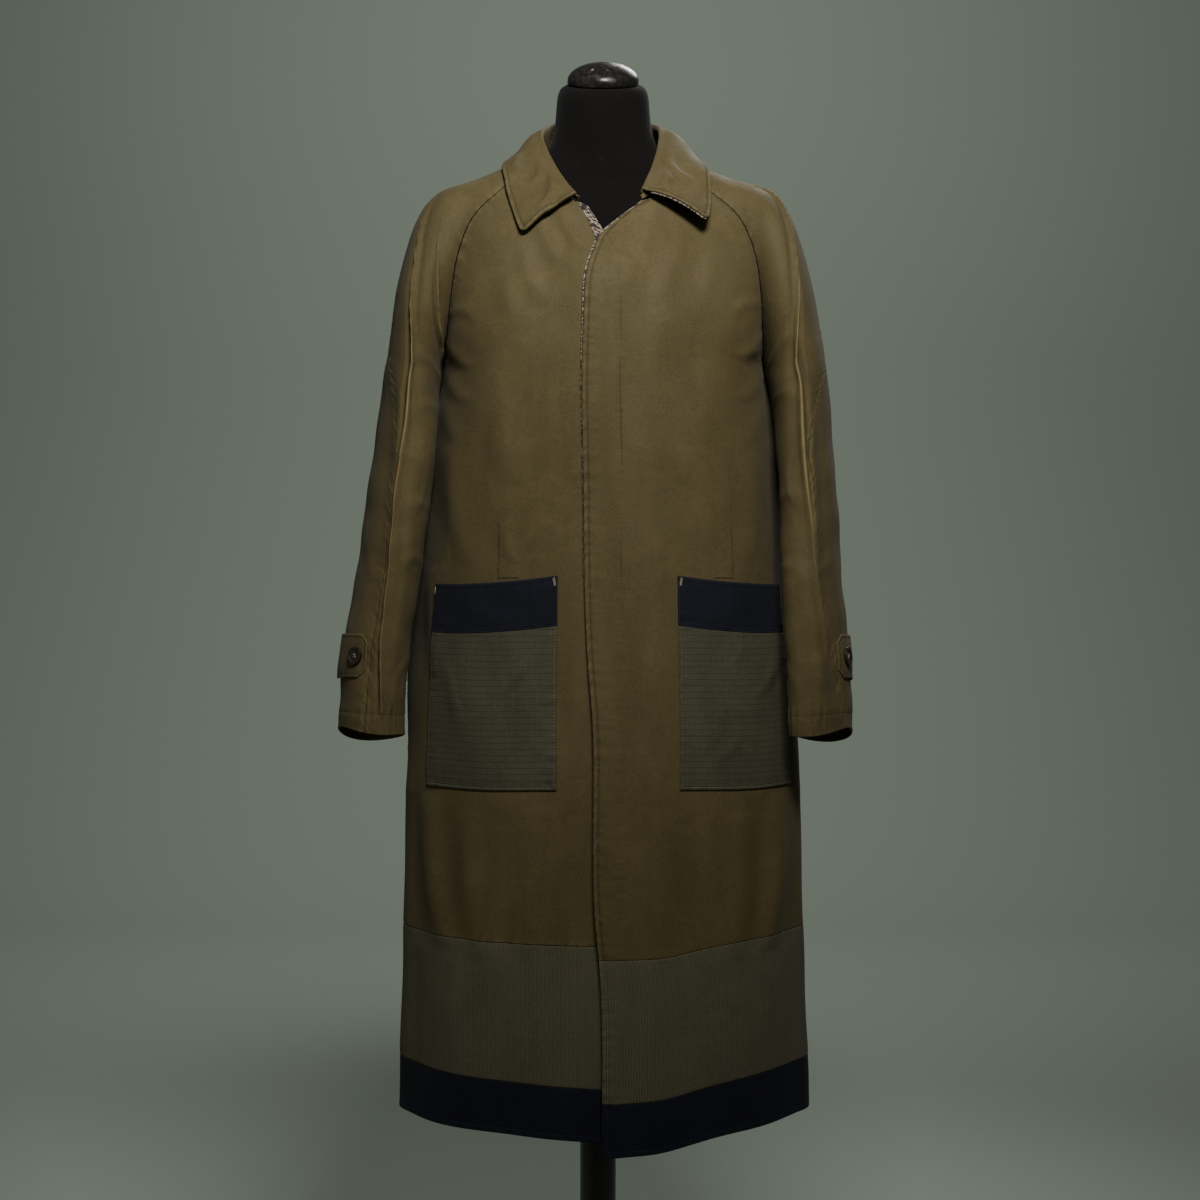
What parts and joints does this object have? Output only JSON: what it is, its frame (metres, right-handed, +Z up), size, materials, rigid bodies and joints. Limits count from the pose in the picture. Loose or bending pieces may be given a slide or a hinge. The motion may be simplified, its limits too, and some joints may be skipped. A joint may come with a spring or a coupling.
{
  "type": "raglan trench coat on a dress form",
  "caption": "Long raglan coat with point collar, fly front and contrast pockets and hem, worn open-necked on a limbless dress form with pole and round base.",
  "frame": {"origin": "centre of the stand's base on the floor", "axes": "+Z up, the coat faces -Y, +X is towards the wearer's left"},
  "size_m": [0.5963, 0.3929, 1.6627],
  "materials": {
    "khaki": "dense khaki cotton twill with a faint sheen",
    "olive": "grey-olive cotton with a fine upright rib",
    "ripstop": "grey-olive ripstop cotton with a small grid",
    "navy": "matt navy cotton",
    "tweed": "cream, black and brown wool tweed",
    "horn": "polished dark horn",
    "jersey": "matt black jersey",
    "lacquer": "black gloss lacquer",
    "iron": "black satin paint"
  },
  "bodies": {
    "root": {"front_left": "khaki", "front_right": "khaki", "back": "khaki", "sleeve_left_front": "khaki", "sleeve_left_back": "khaki", "sleeve_right_front": "khaki", "sleeve_right_back": "khaki", "collar": "khaki", "welt_left": "khaki", "welt_right": "khaki", "tab_left": "khaki", "tab_right": "khaki", "front_left_panel": "olive", "front_right_panel": "olive", "back_panel": "olive", "pocket_left": "ripstop", "pocket_right": "ripstop", "front_left_hem": "navy", "front_right_hem": "navy", "back_hem": "navy", "pocket_band_left": "navy", "pocket_band_right": "navy", "under_collar": "tweed", "facing_left": "tweed", "facing_right": "tweed", "button_left": "horn", "button_right": "horn", "form_body": "jersey", "form_cap": "lacquer", "form_pole": "iron", "form_base": "iron"}
  },
  "joints": []
}
